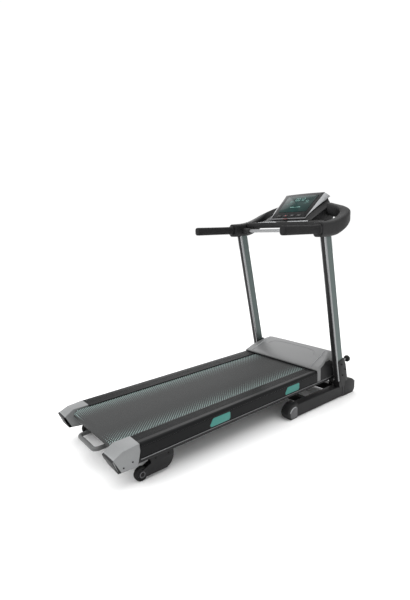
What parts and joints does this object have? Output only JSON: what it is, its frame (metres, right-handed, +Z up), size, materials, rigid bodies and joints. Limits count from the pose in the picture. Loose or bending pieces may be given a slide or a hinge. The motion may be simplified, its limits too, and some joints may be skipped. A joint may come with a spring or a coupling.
{
  "type": "folding treadmill",
  "caption": "Folding home treadmill: a motorised running deck that folds up between two raked uprights with padded grips, a console and cup wells, on a wheeled floor frame.",
  "frame": {"origin": "on the floor, under the middle of the whole machine's box", "axes": "+Y is the way the runner faces, towards the motor hood and console; +X is the runner's right; +Z is up"},
  "size_m": [0.7984, 1.8028, 1.353],
  "materials": {
    "black_paint": "satin black powder coat",
    "black_plastic": "fine-grained moulded black plastic",
    "grey_paint": "light grey powder coat",
    "silver_plastic": "silver-grey painted plastic",
    "aluminium": "satin anodised aluminium",
    "belt": "textured dark grey running belt",
    "foam": "closed-cell black foam",
    "screen": "dark teal display window",
    "glossy_black": "glossy black panel",
    "steel": "bright turned steel",
    "rubber": "black rubber",
    "board": "waxed phenolic-faced fibreboard",
    "circuit": "green circuit board",
    "red_plastic": "red moulded plastic"
  },
  "bodies": {
    "base": {"base_rail_left": "black_paint", "base_rail_right": "black_paint", "base_nose_left": "black_plastic", "base_nose_right": "black_plastic", "base_cap_left": "black_plastic", "base_cap_right": "black_plastic", "upright_left": "aluminium", "upright_right": "aluminium", "socket_left": "black_paint", "socket_right": "black_paint", "pivot_pin_left": "steel", "pivot_pin_right": "steel", "handlebar_left": "steel", "handlebar_right": "steel", "grip_left": "foam", "grip_right": "foam", "shoulder_left": "black_plastic", "shoulder_right": "black_plastic", "base_cross_rear": "black_paint", "base_front_frame": "black_paint", "crossbar": "aluminium", "console_body": "black_plastic", "console_panel": "glossy_black", "display": "screen", "console_board": "circuit", "console_bezel": "silver_plastic"},
    "deck": {"deck_side_left": "black_paint", "deck_side_right": "black_paint", "foot_rail_left": "black_plastic", "foot_rail_right": "black_plastic", "end_cap_left": "silver_plastic", "end_cap_right": "silver_plastic", "wheel_bracket_left": "black_paint", "wheel_bracket_right": "black_paint", "deck_cross_rear": "black_paint", "deck_cross_front": "black_paint", "running_board": "board", "running_belt": "belt", "motor": "black_paint", "drive_belt": "rubber", "controller": "circuit", "rear_handle": "grey_paint", "motor_hood": "silver_plastic", "power_inlet": "black_plastic"},
    "front_roller": {"front_roller": "steel"},
    "rear_roller": {"rear_roller": "steel"},
    "motor_pulley": {"motor_pulley": "steel"},
    "support_wheel_left": {"support_wheel_left": "rubber"},
    "support_wheel_right": {"support_wheel_right": "rubber"},
    "transport_wheel_left": {"transport_wheel_left": "rubber"},
    "transport_wheel_right": {"transport_wheel_right": "rubber"},
    "strut_barrel": {"strut_barrel": "black_paint"},
    "strut_rod": {"strut_rod": "steel"},
    "lock_plunger": {"lock_plunger": "black_plastic"},
    "safety_key": {"safety_key": "red_plastic"},
    "key_slower": {"key_slower": "silver_plastic"},
    "key_stop": {"key_stop": "red_plastic"},
    "key_start": {"key_start": "silver_plastic"},
    "key_faster": {"key_faster": "silver_plastic"},
    "power_switch": {"power_switch": "red_plastic"}
  },
  "joints": [
    {"name": "deck_fold", "type": "hinge", "parent": "base", "child": "deck", "pos_m": [0, 0.765, 0.165], "axis": [-1, 0, 0], "range_deg": [0, 68]},
    {"name": "front_roller_spin", "type": "hinge", "parent": "deck", "child": "front_roller", "pos_m": [0, 0.59051, 0.18482], "axis": [1, 0, 0], "continuous": true},
    {"name": "rear_roller_spin", "type": "hinge", "parent": "deck", "child": "rear_roller", "pos_m": [0, -0.81726, 0.15948], "axis": [1, 0, 0], "continuous": true},
    {"name": "motor_pulley_spin", "type": "hinge", "parent": "deck", "child": "motor_pulley", "pos_m": [0, 0.68996, 0.21652], "axis": [1, 0, 0], "continuous": true},
    {"name": "support_wheel_left_spin", "type": "hinge", "parent": "deck", "child": "support_wheel_left", "pos_m": [-0.296, -0.7466, 0.034], "axis": [1, 0, 0], "continuous": true},
    {"name": "transport_wheel_left_spin", "type": "hinge", "parent": "base", "child": "transport_wheel_left", "pos_m": [-0.338, 0.85, 0.03], "axis": [1, 0, 0], "continuous": true},
    {"name": "support_wheel_right_spin", "type": "hinge", "parent": "deck", "child": "support_wheel_right", "pos_m": [0.296, -0.7466, 0.034], "axis": [1, 0, 0], "continuous": true},
    {"name": "transport_wheel_right_spin", "type": "hinge", "parent": "base", "child": "transport_wheel_right", "pos_m": [0.338, 0.85, 0.03], "axis": [1, 0, 0], "continuous": true},
    {"name": "strut_swing", "type": "hinge", "parent": "base", "child": "strut_barrel", "pos_m": [0, 0.715, 0.06], "axis": [-1, 0, 0], "range_deg": [0, 68]},
    {"name": "strut_slide", "type": "slide", "parent": "strut_barrel", "child": "strut_rod", "axis": [0, -0.995, 0.0995], "range_m": [0, 0.13]},
    {"name": "lock_plunger_pull", "type": "slide", "parent": "base", "child": "lock_plunger", "axis": [0, 1, 0], "range_m": [0, 0.012], "stiffness_N_per_m": 900, "springref_m": -0.004},
    {"name": "safety_key_pull", "type": "slide", "parent": "base", "child": "safety_key", "axis": [0, -0.6656, 0.7463], "range_m": [0, 0.03]},
    {"name": "key_slower_press", "type": "slide", "parent": "base", "child": "key_slower", "axis": [0, 0.6656, -0.7463], "range_m": [0, 0.0015], "stiffness_N_per_m": 400, "springref_m": -0.001},
    {"name": "key_stop_press", "type": "slide", "parent": "base", "child": "key_stop", "axis": [0, 0.6656, -0.7463], "range_m": [0, 0.0015], "stiffness_N_per_m": 400, "springref_m": -0.001},
    {"name": "key_start_press", "type": "slide", "parent": "base", "child": "key_start", "axis": [0, 0.6656, -0.7463], "range_m": [0, 0.0015], "stiffness_N_per_m": 400, "springref_m": -0.001},
    {"name": "key_faster_press", "type": "slide", "parent": "base", "child": "key_faster", "axis": [0, 0.6656, -0.7463], "range_m": [0, 0.0015], "stiffness_N_per_m": 400, "springref_m": -0.001},
    {"name": "power_switch_rock", "type": "hinge", "parent": "deck", "child": "power_switch", "pos_m": [-0.15, 0.80855, 0.18465], "axis": [-1, 0, 0], "range_deg": [0, 14]}
  ],
  "couplings": [
    {"joint": "rear_roller_spin", "follows": "front_roller_spin", "ratio": 1},
    {"joint": "motor_pulley_spin", "follows": "front_roller_spin", "ratio": 2.2687},
    {"joint": "strut_swing", "follows": "deck_fold", "ratio": 0.949},
    {"joint": "strut_slide", "follows": "deck_fold", "m_per_rad": 0.10704}
  ]
}
